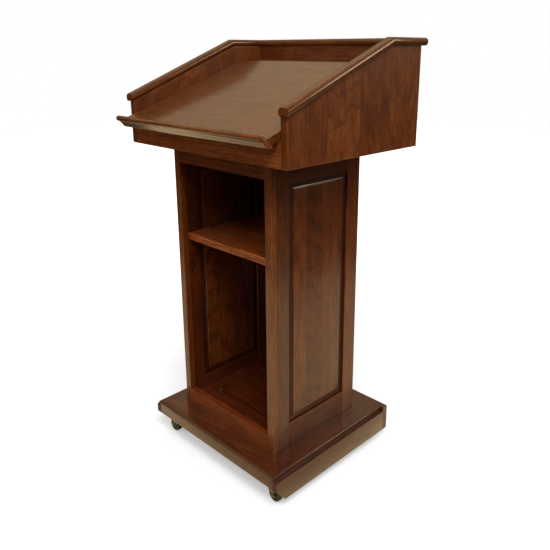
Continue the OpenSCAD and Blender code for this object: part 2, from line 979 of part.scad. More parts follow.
// Mounting plate with the ball race and the king pin, whose head holds the fork
module caster_plate() {
    difference() {
        translate([-plate_w / 2, -plate_w / 2, plate_low])
            cube([plate_w, plate_w, plate_t]);
        for (at = caster_screw_at) translate([at[0], at[1], plate_low - 1])
            cylinder(d = screw_d + 2 * fit, h = plate_t + 2);
    }
    translate([0, 0, plate_low - race_h]) cylinder(d = race_d, h = race_h);
    translate([0, 0, crown_low - slide_gap - 2])
        cylinder(d = king_d, h = caster_h - crown_low + slide_gap + 2);
    translate([0, 0, crown_low - slide_gap - 2]) cylinder(d = king_d + 5, h = 2);
}

module caster_plates() {
    color(steel) for (side = [-1, 1], end = [-1, 1]) at_caster(side, end) caster_plate();
}

module caster_screws() {
    for (side = [-1, 1], end = [-1, 1]) at_caster(side, end)
        for (at = caster_screw_at) translate([at[0], at[1], plate_low - screw_head_h]) {
            cylinder(d = screw_head_d, h = screw_head_h);
            cylinder(d = screw_d, h = screw_head_h + plate_t + caster_screw_l);
        }
}

module fork_leg() {
    low = [trail, axle_z];
    front = [16, crown_top];
    rear = [-12, crown_top];
    polygon([rear, front, touch(front, low, boss_r, 1), low,
        touch(rear, low, boss_r, -1)]);
    translate(low) circle(boss_r);
}

module fork() {
    difference() {
        union() {
            translate([-12, -fork_out, crown_low]) cube([28, 2 * fork_out, fork_t]);
            translate([0, 0, crown_low]) cylinder(d = race_d, h = fork_t);
            for (y = [fork_out, -fork_in]) translate([0, y, 0]) rotate([90, 0, 0])
                linear_extrude(fork_t) fork_leg();
        }
        translate([0, 0, crown_low - 1]) cylinder(d = king_d + 2 * fit, h = fork_t + 2);
        translate([trail, 0, axle_z]) rotate([90, 0, 0])
            cylinder(d = axle_d + 2 * fit, h = 3 * fork_out, center = true);
    }
}

module braked_fork() {
    difference() {
        fork();
        translate([brake_x, 0, brake_z]) rotate([90, 0, 0])
            cylinder(d = brake_pin_d + 2 * fit, h = 3 * fork_out, center = true);
    }
}

module axle() {
    translate([trail, 0, axle_z]) rotate([90, 0, 0]) {
        cylinder(d = axle_d, h = 2 * fork_out + 2 * head_t, center = true);
        for (s = [-1, 1]) translate([0, 0, s * (fork_out + head_t / 2)])
            cylinder(d = axle_d + 4, h = head_t, center = true);
    }
}

module brake_pin() {
    translate([brake_x, 0, brake_z]) rotate([90, 0, 0]) {
        cylinder(d = brake_pin_d, h = 2 * fork_out + 2, center = true);
        for (s = [-1, 1]) translate([0, 0, s * (fork_out + 0.5)])
            cylinder(d = brake_pin_d + 2, h = 1, center = true);
    }
}

module wheel() {
    edge = 3;
    r = wheel_d / 2;
    half = wheel_w / 2;
    translate([trail, 0, axle_z]) rotate([90, 0, 0]) rotate_extrude() {
        translate([axle_d / 2 + fit, -hub_w / 2]) square([4, hub_w]);
        difference() {
            translate([axle_d / 2 + fit, -half]) square([r - edge - axle_d / 2 - fit, 2 * half]);
            for (y = [-half - 1, half - 2]) translate([axle_d / 2 + 5, y])
                square([r - axle_d / 2 - 11, 3]);
        }
        translate([r - edge - 1, -half + edge]) square([edge + 1, 2 * half - 2 * edge]);
        for (y = [-half + edge, half - edge]) translate([r - edge, y]) circle(edge);
    }
}

// Foot pedal over the wheel, on the brake pin; pressed down it grips the tread
module brake() {
    difference() {
        translate([0, fork_in - slide_gap, 0]) rotate([90, 0, 0]) {
            translate([brake_x, brake_z, 0])
                cylinder(r = knuckle_r, h = 2 * (fork_in - slide_gap));
            linear_extrude(2 * (fork_in - slide_gap))
                polygon([[brake_x, brake_z], [brake_x + 1, brake_z + knuckle_r - 0.6],
                    [brake_x + 14, brake_z + knuckle_r - 0.5],
                    [brake_x + 24, brake_z + knuckle_r + 3],
                    [brake_x + 26.5, brake_z + knuckle_r + 2],
                    [brake_x + 25.5, brake_z + knuckle_r],
                    [brake_x + 14, brake_z - 1.5], [brake_x + 8, brake_z - 2]]);
        }
        translate([brake_x, 0, brake_z]) rotate([90, 0, 0])
            cylinder(d = brake_pin_d + 2 * fit, h = 3 * fork_out, center = true);
    }
}

module fork_front_left() {
    color(steel) at_caster(-1, -1) {
        braked_fork();
        axle();
        brake_pin();
    }
}

module fork_front_right() {
    color(steel) at_caster(1, -1) {
        braked_fork();
        axle();
        brake_pin();
    }
}

module fork_rear_left() {
    color(steel) at_caster(-1, 1) {
        fork();
        axle();
    }
}

module fork_rear_right() {
    color(steel) at_caster(1, 1) {
        fork();
        axle();
    }
}

module wheel_front_left() {
    color(dark) at_caster(-1, -1) wheel();
}

module wheel_front_right() {
    color(dark) at_caster(1, -1) wheel();
}

module wheel_rear_left() {
    color(dark) at_caster(-1, 1) wheel();
}

module wheel_rear_right() {
    color(dark) at_caster(1, 1) wheel();
}

module brake_front_left() {
    color(dark) at_caster(-1, -1) brake();
}

module brake_front_right() {
    color(dark) at_caster(1, -1) brake();
}

// Screws

module wood_screws() {
    color(steel) {
        for (at = desk_screw_at) screw_down(at, long_screw_l);
        for (at = floor_screw_at) screw_down(at, long_screw_l);
        caster_screws();
        at_hinge() for (at = leaf_screw_at) small_screw([at[0], at[1], under], leaf_t);
    }
}

desk_side_left();
desk_side_right();
cap_left();
cap_right();
cap_back();
back_board();
apron();
desk_bottom();
rear_ledge();
board_cleats();
reading_board();
book_lip();
hinge_leaves_ledge();
hinge_leaves_board();
hinge_pins();
board_screws();
stay_brackets();
stay_rod_left();
stay_rod_right();
stay_guide_left();
stay_guide_right();
stay_posts();
face_stile_left();
face_stile_right();
face_top_rail();
face_bottom_rail();
left_front_stile();
left_rear_stile();
left_rails();
left_panel();
right_front_stile();
right_rear_stile();
right_rails();
right_panel();
back_stiles();
back_rails();
back_panel();
column_floor();
floor_battens();
shelf();
shelf_pins();
base_top();
skirt_left();
skirt_right();
skirt_front();
skirt_back();
corner_blocks();
wood_screws();
caster_plates();
fork_front_left();
wheel_front_left();
brake_front_left();
fork_front_right();
wheel_front_right();
brake_front_right();
fork_rear_left();
wheel_rear_left();
fork_rear_right();
wheel_rear_right();
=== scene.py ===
import math

import bpy
import bmesh
from mathutils import Matrix, Vector


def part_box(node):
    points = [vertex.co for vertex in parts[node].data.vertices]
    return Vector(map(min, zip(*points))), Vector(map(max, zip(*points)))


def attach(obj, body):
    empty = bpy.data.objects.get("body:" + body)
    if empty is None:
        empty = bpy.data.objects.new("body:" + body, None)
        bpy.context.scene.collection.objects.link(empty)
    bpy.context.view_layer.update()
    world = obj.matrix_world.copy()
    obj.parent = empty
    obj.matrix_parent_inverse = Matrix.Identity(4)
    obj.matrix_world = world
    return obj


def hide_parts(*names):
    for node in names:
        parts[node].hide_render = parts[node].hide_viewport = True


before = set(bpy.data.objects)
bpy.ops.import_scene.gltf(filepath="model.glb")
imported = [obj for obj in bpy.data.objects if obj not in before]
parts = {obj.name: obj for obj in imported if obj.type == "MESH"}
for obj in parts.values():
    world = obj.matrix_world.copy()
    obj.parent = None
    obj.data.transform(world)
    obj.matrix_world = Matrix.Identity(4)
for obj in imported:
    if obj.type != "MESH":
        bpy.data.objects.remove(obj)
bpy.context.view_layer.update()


# Desk sides. Two panels edge-glued from narrow cherry boards with the grain upright,
# stained red mahogany and given a satin lacquer. They are screwed to the desk's bottom.
def stain(red, green, blue):
    """A colour as it looks on a screen, 0 to 255, turned into linear light by the sRGB rule."""
    linear = []
    for shade in (red, green, blue):
        share = shade / 255
        linear.append(share / 12.92 if shade < 11 else ((share + 0.055) / 1.055) ** 2.4)
    return (*linear, 1.0)


def put(tree, kind, into=None, **settings):
    """Adds a shader node, with values or links going into its sockets."""
    made = tree.nodes.new(kind)
    for key, value in settings.items():
        setattr(made, key, value)
    for key, value in (into or {}).items():
        if isinstance(value, bpy.types.NodeSocket):
            tree.links.new(value, made.inputs[key])
        else:
            made.inputs[key].default_value = value
    return made


def reckon(tree, how, a, b=0.0, c=0.0):
    """One step of arithmetic on up to three values."""
    return put(tree, "ShaderNodeMath", {0: a, 1: b, 2: c}, operation=how).outputs[0]


def off_middle(tree, value, times):
    """How far a value that runs from 0 to 1 is above or below its middle, times a number."""
    return reckon(tree, "MULTIPLY", reckon(tree, "SUBTRACT", value, 0.5), times)


def graded(tree, value, first, last, start=0.0, end=1.0, **settings):
    """Goes from start to end while the value goes from first to last, and no further."""
    return put(tree, "ShaderNodeMapRange", {
        "Value": value, "From Min": first, "From Max": last, "To Min": start, "To Max": end},
        **settings).outputs[0]


def blend_colours(tree, share, a, b):
    """Colour a where share is 0, and colour b where it is 1."""
    return put(tree, "ShaderNodeMix", {0: share, 6: a, 7: b}, data_type="RGBA").outputs[2]


def grain_noise(tree, at, along, across, detail, rough=0.5):
    """Noise drawn out along the grain: so many turns a metre along it, and across it."""
    drawn = put(tree, "ShaderNodeVectorMath", {0: at, 1: (along, across, across)}, operation="MULTIPLY")
    return put(tree, "ShaderNodeTexNoise", {
        "Vector": drawn.outputs[0], "Scale": 1.0, "Detail": detail, "Roughness": rough})


def wave(tree, at, noise, reach):
    """Moves the lines of the grain aside, by up to reach, in metres."""
    aside = put(tree, "ShaderNodeVectorMath", {0: noise.outputs["Color"], 1: (0.0, reach, reach)},
                operation="MULTIPLY")
    return put(tree, "ShaderNodeVectorMath", {0: at, 1: aside.outputs[0]}, operation="ADD").outputs[0]


cherry_figure = bpy.data.node_groups.new("cherry_figure", "ShaderNodeTree")
for name, kind, value in (
    ("Vector", "NodeSocketVector", None),
    ("Board Width", "NodeSocketFloat", 9.0),
    ("Seed", "NodeSocketFloat", 0.0),
    ("Board Tone", "NodeSocketFloat", 0.0),
    ("Figure", "NodeSocketFloat", 0.3),
    ("Deep", "NodeSocketColor", None),
    ("Middle", "NodeSocketColor", None),
    ("Pale", "NodeSocketColor", None),
):
    plug = cherry_figure.interface.new_socket(name, in_out="INPUT", socket_type=kind)
    if value is not None:
        plug.default_value = value
for name, kind in (("Color", "NodeSocketColor"), ("Streak", "NodeSocketFloat"), ("Height", "NodeSocketFloat")):
    cherry_figure.interface.new_socket(name, in_out="OUTPUT", socket_type=kind)
t = cherry_figure
given = t.nodes.new("NodeGroupInput").outputs
# each glued board is cut from another place in the tree
trunk_long, trunk_wide, trunk_deep, heart_off = 7.0, 0.12, 0.10, 0.5
apart = put(t, "ShaderNodeSeparateXYZ", {0: given["Vector"]})
boards_across = reckon(t, "DIVIDE", apart.outputs["Y"], given["Board Width"])
which = reckon(t, "ADD", reckon(t, "FLOOR", boards_across), given["Seed"])
chance = put(t, "ShaderNodeTexWhiteNoise", {"W": which}, noise_dimensions="1D")
dice = put(t, "ShaderNodeSeparateColor", {0: chance.outputs["Color"]})
shift = put(t, "ShaderNodeCombineXYZ", {
    0: reckon(t, "MULTIPLY", dice.outputs[0], trunk_long),
    1: reckon(t, "MULTIPLY_ADD", dice.outputs[1], trunk_wide, heart_off),
    2: reckon(t, "MULTIPLY_ADD", dice.outputs[2], trunk_deep, heart_off)})
cut = put(t, "ShaderNodeVectorMath", {0: given["Vector"], 1: shift.outputs[0]}, operation="ADD").outputs[0]
# slow waves in the grain, and short ones
waved = wave(t, cut, grain_noise(t, cut, 1.8, 8.0, detail=2.0), reach=0.034)
waved = wave(t, waved, grain_noise(t, cut, 16.0, 40.0, detail=1.0), reach=0.009)
# growth rings of uneven width; the saw leaves them at an angle, so they run out in arches
saw_slope, heart_side, rings_a_metre = 0.36, -0.06, 170.0
late_from, late_full, least_ring = 0.47, 0.64, 0.6
rise = off_middle(t, dice.outputs[0], saw_slope)
lengthwise = put(t, "ShaderNodeSeparateXYZ", {0: cut})
climb = put(t, "ShaderNodeCombineXYZ", {
    1: heart_side, 2: reckon(t, "MULTIPLY", lengthwise.outputs["X"], rise)})
in_trunk = put(t, "ShaderNodeVectorMath", {0: waved, 1: climb.outputs[0]}, operation="ADD")
flat = put(t, "ShaderNodeVectorMath", {0: in_trunk.outputs[0], 1: (0.0, 1.0, 1.0)}, operation="MULTIPLY")
from_heart = put(t, "ShaderNodeVectorMath", {0: flat.outputs[0]}, operation="LENGTH")
rings = put(t, "ShaderNodeTexNoise", {
    "W": from_heart.outputs["Value"], "Scale": rings_a_metre, "Detail": 2.0, "Roughness": 0.55},
    noise_dimensions="1D")
ring_strength = reckon(t, "ADD", dice.outputs[2], least_ring)
late_wood = reckon(t, "MULTIPLY", graded(t, rings.outputs["Fac"], late_from, late_full), ring_strength)
# fine fibres, pores and clouds in the stain, and how much each tells in the tone
fibre_tells, cloud_tells, plain_tone, pore_tells = 0.8, 1.05, 0.57, 0.8
pore_from, pore_full = 0.57, 0.68
fibre = grain_noise(t, waved, 9.0, 300.0, detail=3.0, rough=0.6).outputs["Fac"]
dash = grain_noise(t, waved, 42.0, 420.0, detail=1.0).outputs["Fac"]
pore = reckon(t, "MULTIPLY", graded(t, dash, pore_from, pore_full), pore_tells)
cloud = grain_noise(t, cut, 10.0, 34.0, detail=4.0, rough=0.6).outputs["Fac"]
board_tone = reckon(t, "ADD", off_middle(t, chance.outputs["Value"], given["Board Tone"]), plain_tone)
tone = reckon(t, "ADD", off_middle(t, fibre, fibre_tells), off_middle(t, cloud, cloud_tells))
tone = reckon(t, "ADD", tone, board_tone)
tone = reckon(t, "SUBTRACT", tone, reckon(t, "MULTIPLY", late_wood, given["Figure"]))
colour = blend_colours(t, graded(t, tone, 0.0, 0.5), given["Deep"], given["Middle"])
colour = blend_colours(t, graded(t, tone, 0.5, 1.0), colour, given["Pale"])
colour = blend_colours(t, pore, colour, given["Deep"])
# the glue lines between the boards
line_wide, line_tells = 0.0007, 0.45
from_middle = reckon(t, "ABSOLUTE", reckon(t, "SUBTRACT", reckon(t, "FRACT", boards_across), 0.5))
line_from = reckon(t, "SUBTRACT", 0.5, reckon(t, "DIVIDE", line_wide, given["Board Width"]))
glue_line = reckon(t, "GREATER_THAN", from_middle, line_from)
colour = blend_colours(t, reckon(t, "MULTIPLY", glue_line, line_tells), colour, given["Deep"])
height = reckon(t, "SUBTRACT", reckon(t, "SUBTRACT", fibre, pore), glue_line)
put(t, "NodeGroupOutput", {"Color": colour, "Streak": fibre, "Height": height})

ACROSS, BACK, UP = Vector((1, 0, 0)), Vector((0, 1, 0)), Vector((0, 0, 1))


def empty_finish(name):
    """A new material with no nodes in it yet."""
    made = bpy.data.materials.new(name)
    made.use_nodes = True
    made.node_tree.nodes.clear()
    return made


def stained_cherry(name, grain, width, tones, boards=9.0, joint=-4.5, seed=0.0, board_tone=0.0,
                   figure=0.2, roughness=0.4, coat=0.55, relief=0.12, haze=0.14):
    """Stained and lacquered cherry with its fibres along grain, in boards of one width that are
    glued at joint. Figure is the strength of the rings, and haze the dullness of the lacquer."""
    m = empty_finish(name)
    tree = m.node_tree
    next_log, pore_deep, shine, duller, glossier = 0.37, 0.0004, 0.32, 0.06, 0.05
    turn = Matrix((grain, width, grain.cross(width))).to_euler()
    place = put(tree, "ShaderNodeTexCoord")
    laid = put(tree, "ShaderNodeMapping", {
        "Vector": place.outputs["Object"], "Rotation": turn, "Location": (next_log * seed, -joint, 0.0)})
    wood = put(tree, "ShaderNodeGroup", {
        "Vector": laid.outputs[0], "Board Width": boards, "Seed": seed, "Board Tone": board_tone,
        "Figure": figure, "Deep": tones[0], "Middle": tones[1], "Pale": tones[2]}, node_tree=cherry_figure)
    # the paler streaks take the lacquer a little better
    gloss = graded(tree, wood.outputs["Streak"], 0.3, 0.7, roughness + duller, roughness - glossier)
    bump = put(tree, "ShaderNodeBump", {
        "Height": wood.outputs["Height"], "Distance": pore_deep, "Strength": relief})
    shader = put(tree, "ShaderNodeBsdfPrincipled", {
        "Base Color": wood.outputs["Color"], "Roughness": gloss, "Normal": bump.outputs[0],
        "Coat Weight": coat, "Coat Roughness": haze, "Specular IOR Level": shine})
    put(tree, "ShaderNodeOutputMaterial", {"Surface": shader.outputs[0]})
    return m


def rubbed(wood, paler):
    """The same wood on an eased edge, where the stain is sanded thinner."""
    m = wood.copy()
    m.name = wood.name + "_edge"
    group = next(n for n in m.node_tree.nodes if n.type == "GROUP")
    for key in ("Deep", "Middle", "Pale"):
        red, green, blue = group.inputs[key].default_value[:3]
        group.inputs[key].default_value = (min(red * paler, 1), min(green * paler, 1), min(blue * paler, 1), 1)
    return m


def ease(piece, radius, steps):
    """Sanded edges: the loose triangles are joined and every sharp edge is rounded."""
    same_point, sharp = 0.00002, math.radians(35.0)
    piece.modifiers.new("joined", "WELD").merge_threshold = same_point
    b = piece.modifiers.new("eased", "BEVEL")
    b.width, b.segments, b.limit_method = radius, steps, "ANGLE"
    b.angle_limit = sharp
    b.use_clamp_overlap = False
    b.harden_normals = True
    if len(piece.data.materials) > 1:
        b.material = 1


def dress(node, wood, radius=0.0012, edge=1.45, steps=2):
    """A finished board: its wood, its paler edges and their rounding."""
    piece = parts[node]
    piece.data.materials.clear()
    piece.data.materials.append(wood)
    piece.data.materials.append(rubbed(wood, edge))
    ease(piece, radius, steps)


red_brown = (stain(64, 27, 8), stain(98, 48, 16), stain(126, 70, 28))
for k, side in enumerate(("left", "right")):
    dress("desk_side_" + side, stained_cherry("cherry_desk_side_" + side, UP, BACK, red_brown,
          boards=0.12, joint=0.022, seed=1342.0 + 25 * k, board_tone=0.36, figure=0.26))

# Back board of the desk. One wide board of stained cherry with its grain across the desk,
# glued between the two sides; its outer face is towards the audience.
dress("back_board", stained_cherry("cherry_back_board", ACROSS, UP,
      (stain(58, 24, 7), stain(94, 45, 15), stain(118, 64, 26)), seed=21.0, figure=0.25))

# Apron. A cherry board with arched grain, glued between the sides across the front of the
# desk, under the reading board.
dress("apron", stained_cherry("cherry_apron", ACROSS, UP,
      (stain(72, 31, 9), stain(126, 64, 24), stain(156, 92, 42)), seed=5.0, figure=0.26))

# Bottom of the desk. A board glued up from narrow cherry boards, which closes the desk from
# below; the column's top rails are screwed to it.
dress("desk_bottom", stained_cherry("cherry_desk_bottom", ACROSS, BACK, red_brown,
      boards=0.115, joint=0.0, seed=9.0, board_tone=0.3, coat=0.3))


# Cap rails. Bullnose rails glued along the top edges of the sides, mitred at the bend,
# and one along the back board between them. Their ends stand proud and are rounded.
def nothing_picked():
    if bpy.context.object and bpy.context.object.mode != "OBJECT":
        bpy.ops.object.mode_set(mode="OBJECT")
    bpy.ops.object.select_all(action="DESELECT")


def block(name, low, high):
    """A squared blank between two corners, left open in edit mode."""
    nothing_picked()
    low, high = Vector(low), Vector(high)
    bpy.ops.mesh.primitive_cube_add(size=1, location=(low + high) / 2, scale=high - low)
    bpy.ops.object.transform_apply(location=True, rotation=True, scale=True)
    piece = bpy.context.object
    piece.name = piece.data.name = name
    bpy.ops.object.mode_set(mode="EDIT")
    return piece


def pick(kind, test):
    """Selects the faces, edges or verts that pass the test, and nothing else."""
    bpy.ops.mesh.select_mode(type={"faces": "FACE", "edges": "EDGE", "verts": "VERT"}[kind])
    bpy.ops.mesh.select_all(action="DESELECT")
    mesh = bmesh.from_edit_mesh(bpy.context.object.data)
    for item in getattr(mesh, kind):
        if test(item):
            item.select_set(True)
    mesh.select_flush_mode()
    bmesh.update_edit_mesh(bpy.context.object.data)


def way(edge):
    return (edge.verts[1].co - edge.verts[0].co).normalized()


def middle(edge):
    return (edge.verts[1].co + edge.verts[0].co) / 2


def round_over(radius, steps):
    """Rounds the picked edges, as a router does."""
    bpy.ops.mesh.bevel(offset=radius, segments=steps, profile=0.5)


def finish(piece, body, nodes, slot, *woods, angle=30.0):
    """Out of the vice: shading, materials, and the body that the piece goes with."""
    if piece.mode != "OBJECT":
        bpy.ops.object.mode_set(mode="OBJECT")
    nothing_picked()
    piece.select_set(True)
    bpy.context.view_layer.objects.active = piece
    bpy.ops.object.shade_smooth_by_angle(angle=math.radians(angle))
    for wood in woods:
        piece.data.materials.append(wood)
    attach(piece, body)
    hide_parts(*nodes)
    piece.select_set(False)


cap_tones = (stain(62, 28, 9), stain(94, 48, 17), stain(118, 68, 28))
cap_lacquer = dict(figure=0.2, roughness=0.32, coat=0.7, haze=0.2)
bend, desk_front, low_z, high_z = 0.139, 0.228, 1.034, 1.180
cap_thick, cap_round, end_round, proud = 0.020, 0.0092, 0.004, 0.006
# a normal or an edge lies along an axis from square_on up, and a hair is as good as touching
square_on, hair, long_edge = 0.9, 0.0002, 0.1
fall = math.atan((high_z - low_z) / (bend + desk_front))
cap_down = Vector((0, -math.cos(fall), -math.sin(fall)))
cap_up = Vector((0, -math.sin(fall), math.cos(fall)))
cap_run = (bend + desk_front) / math.cos(fall) + proud
cap_bend, mitre = Vector((0, bend, high_z)), cap_thick * math.tan(fall / 2)
for k, side in enumerate(("left", "right")):
    low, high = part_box("cap_" + side)
    rail = block("cap_rail_" + side, (low.x, bend, high_z), (high.x, high.y, high_z + cap_thick))
    pick("verts", lambda v: v.co.y < bend + hair and v.co.z > high_z + hair)
    bpy.ops.transform.translate(value=(0, -mitre, 0))
    pick("faces", lambda f: f.normal.y < -square_on)
    bpy.ops.mesh.extrude_region_move(TRANSFORM_OT_translate={"value": cap_down * cap_run})
    # the end is cut square to the slope
    pick("verts", lambda v: v.co.y < 0 and (v.co - cap_bend).dot(cap_up) > cap_thick / 2)
    bpy.ops.transform.translate(value=cap_down * -mitre)
    pick("edges", lambda e: abs(way(e).x) < 1 - square_on and e.calc_length() > long_edge)
    round_over(cap_round, 6)
    pick("edges", lambda e: middle(e).y > high.y - hair
         or (middle(e) - cap_bend).dot(cap_down) > cap_run - hair)
    round_over(end_round, 4)
    level = stained_cherry("cherry_cap_level_" + side, BACK, ACROSS, cap_tones, seed=31.0 + k, **cap_lacquer)
    sloped = stained_cherry("cherry_cap_slope_" + side, cap_down, ACROSS, cap_tones, seed=33.0 + k, **cap_lacquer)
    finish(rail, "lectern", ["cap_" + side], "moulding_cherry", level, sloped)
    for face in rail.data.polygons:
        face.material_index = int(face.center.y < bend)
rail = block("cap_rail_back", *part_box("cap_back"))
pick("edges", lambda e: abs(way(e).x) > square_on)
round_over(cap_round, 6)
finish(rail, "lectern", ["cap_back"], "moulding_cherry",
       stained_cherry("cherry_cap_back", ACROSS, BACK, cap_tones, seed=36.0, **cap_lacquer))

# Reading board and the level ledge behind it. Wide veneered boards with the grain across
# the desk; the board swings on two hinges at the ledge's front edge.
tilt = math.radians(19.3)
board_down = Vector((0, -math.cos(tilt), -math.sin(tilt)))
board_up = Vector((0, -math.sin(tilt), math.cos(tilt)))
sheet_tones = (stain(66, 30, 10), stain(98, 51, 18), stain(120, 70, 30))
for k, (node, name, width) in enumerate((("reading_board", "cherry_reading_board", board_down),
                                         ("rear_ledge", "cherry_ledge", BACK))):
    dress(node, stained_cherry(name, ACROSS, width, sheet_tones,
          seed=41.0 + k, figure=0.22, roughness=0.32, coat=1.0), edge=1.2)

# Cleats. Strips of bare wood, neither stained nor lacquered, glued to the desk's sides; the
# board and the ledge lie on them.
bare_tones = (stain(120, 78, 44), stain(168, 124, 80), stain(198, 158, 112))
bare = dict(roughness=0.6, coat=0.0, relief=0.3)
dress("board_cleats", stained_cherry("bare_cleats", BACK, UP, bare_tones, seed=44.0, **bare), edge=1.1)


# Book lip. A cherry moulding with a bead along its top, glued to the lower edge of the
# reading board, where it keeps books from sliding off.
def section(name, outline, start, end, place):
    """A moulding: its outline is drawn as one face and extruded along the work."""
    nothing_picked()
    bpy.ops.mesh.primitive_circle_add(vertices=len(outline), radius=0.01, fill_type="NGON")
    piece = bpy.context.object
    piece.name = piece.data.name = name
    for point, (a, b) in zip(piece.data.vertices, outline):
        point.co = place(start, a, b)
    piece.data.update()
    bpy.ops.object.mode_set(mode="EDIT")
    bpy.ops.mesh.select_all(action="SELECT")
    run = place(end, 0, 0) - place(start, 0, 0)
    bpy.ops.mesh.extrude_region_move(TRANSFORM_OT_translate={"value": run})
    bpy.ops.mesh.select_all(action="SELECT")
    bpy.ops.mesh.normals_make_consistent(inside=False)
    return piece


def arc(centre, radius, first, last, steps):
    """Points on an arc, in degrees, both ends among them."""
    turns = [math.radians(first + (last - first) * i / steps) for i in range(steps + 1)]
    return [(centre[0] + radius * math.cos(turn), centre[1] + radius * math.sin(turn)) for turn in turns]


thick, pin_under, ledge_top, pin_y = 0.019, 0.0043, 1.139, 0.168
pin_z = ledge_top - thick - pin_under
board_end = 0.0006 + 0.4512    # the gap at the ledge, and the board's length down the slope
arris = 0.0009


def on_slope(x, along, above):
    """A point of the lip: along and above from the top corner of the board's lower edge."""
    at_end = Vector((x, pin_y, pin_z)) + board_down * (board_end - along)
    return at_end + board_up * (pin_under + thick + above)


# down the board's end, under it, up the moulded front and over the bead
lip_outline = (
    [(0.0, 0.0), (0.0, -thick), (0.010, -thick), (0.010, -0.0262), (0.0092, -0.027), (0.0045, -0.027),
     (-0.0052, -0.0208), (-0.0066, -0.0192), (-0.0105, -0.0095), (-0.0128, -0.0035), (-0.0160, 0.0010)]
    + arc((-0.014, 0.008), 0.007, 218, 20, 18)
    + [(-0.0054, 0.0068), (-0.0030, 0.0032)])
low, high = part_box("book_lip")
lip = section("book_lip_moulding", lip_outline, low.x, high.x, on_slope)
pick("edges", lambda e: abs(middle(e).x) > high.x - hair)
round_over(arris, 2)
lip_tones = (stain(66, 29, 9), stain(106, 54, 19), stain(134, 76, 32))
moulding_angle = 24
finish(lip, "board", ["book_lip"], "moulding_cherry", stained_cherry("cherry_book_lip", ACROSS, UP, lip_tones,
       seed=46.0, figure=0.25, roughness=0.3, coat=0.9), angle=moulding_angle)

# Hinges and stays, hidden in the desk. Pressed steel leaves on a pin at the ledge, and two
# steel rods that slide through black clamping guides on the side panels.
steel_wear = bpy.data.node_groups.new("steel_wear", "ShaderNodeTree")
for name, kind in (("Vector", "NodeSocketVector"), ("Clean", "NodeSocketColor"), ("Dull", "NodeSocketColor")):
    steel_wear.interface.new_socket(name, in_out="INPUT", socket_type=kind)
for name, kind in (("Color", "NodeSocketColor"), ("Roughness", "NodeSocketFloat"), ("Height", "NodeSocketFloat")):
    steel_wear.interface.new_socket(name, in_out="OUTPUT", socket_type=kind)
t = steel_wear
given = t.nodes.new("NodeGroupInput").outputs
clean_rough, dull_adds, lines_add = 0.24, 0.22, 0.12
lines = grain_noise(t, given["Vector"], 60.0, 1400.0, detail=2.0).outputs["Fac"]
spots = put(t, "ShaderNodeTexNoise", {"Vector": given["Vector"], "Scale": 140.0, "Detail": 3.0})
dulled = graded(t, spots.outputs["Fac"], 0.42, 0.62)
colour = blend_colours(t, dulled, given["Clean"], given["Dull"])
rough = reckon(t, "MULTIPLY_ADD", dulled, dull_adds, clean_rough)
rough = reckon(t, "ADD", rough, reckon(t, "MULTIPLY", lines, lines_add))
put(t, "NodeGroupOutput", {"Color": colour, "Roughness": rough, "Height": lines})


def plated(name, clean, dull, metallic=1.0):
    """Plated steel with drawn lines and dull spots, or black plastic where metallic is 0."""
    m = empty_finish(name)
    tree = m.node_tree
    line_deep, line_strength = 0.0001, 0.2
    place = put(tree, "ShaderNodeTexCoord")
    wear = put(tree, "ShaderNodeGroup", {
        "Vector": place.outputs["Object"], "Clean": clean, "Dull": dull}, node_tree=steel_wear)
    bump = put(tree, "ShaderNodeBump", {
        "Height": wear.outputs["Height"], "Distance": line_deep, "Strength": line_strength})
    shader = put(tree, "ShaderNodeBsdfPrincipled", {
        "Base Color": wear.outputs["Color"], "Roughness": wear.outputs["Roughness"],
        "Normal": bump.outputs[0], "Metallic": metallic})
    put(tree, "ShaderNodeOutputMaterial", {"Surface": shader.outputs[0]})
    return m


def fit(nodes, metal, radius):
    """Gives small hardware its finish and slightly rounded edges."""
    for node in nodes:
        piece = parts[node]
        piece.data.materials.clear()
        piece.data.materials.append(metal)
        ease(piece, radius, 2)


zinc = plated("zinc_plate", stain(196, 196, 190), stain(150, 150, 144))
fit(("hinge_leaves_ledge", "hinge_leaves_board", "hinge_pins", "stay_brackets", "stay_posts",
     "stay_rod_left", "stay_rod_right", "board_screws", "wood_screws", "shelf_pins"), zinc, 0.0003)
black_guide = plated("black_guide", stain(26, 26, 25), stain(40, 39, 37), metallic=0.0)
fit(("stay_guide_left", "stay_guide_right"), black_guide, 0.0008)

# Face frame of the column. Two narrow cherry stiles and two rails glued round the open
# front; the bottom rail is a redder board.
face_tones = (stain(64, 28, 8), stain(100, 50, 17), stain(128, 72, 30))
for k, side in enumerate(("left", "right")):
    dress("face_stile_" + side, stained_cherry("cherry_face_stile_" + side, UP, ACROSS, face_tones,
          seed=51.0 + 4 * k, figure=0.16, coat=0.6))
dress("face_top_rail", stained_cherry("cherry_face_top_rail", ACROSS, UP,
      (stain(54, 20, 6), stain(94, 42, 14), stain(122, 64, 26)), seed=53.0, figure=0.26))
dress("face_bottom_rail", stained_cherry("cherry_face_bottom_rail", ACROSS, UP,
      (stain(66, 25, 7), stain(106, 47, 16), stain(132, 68, 28)), seed=54.0, figure=0.18, coat=0.7))

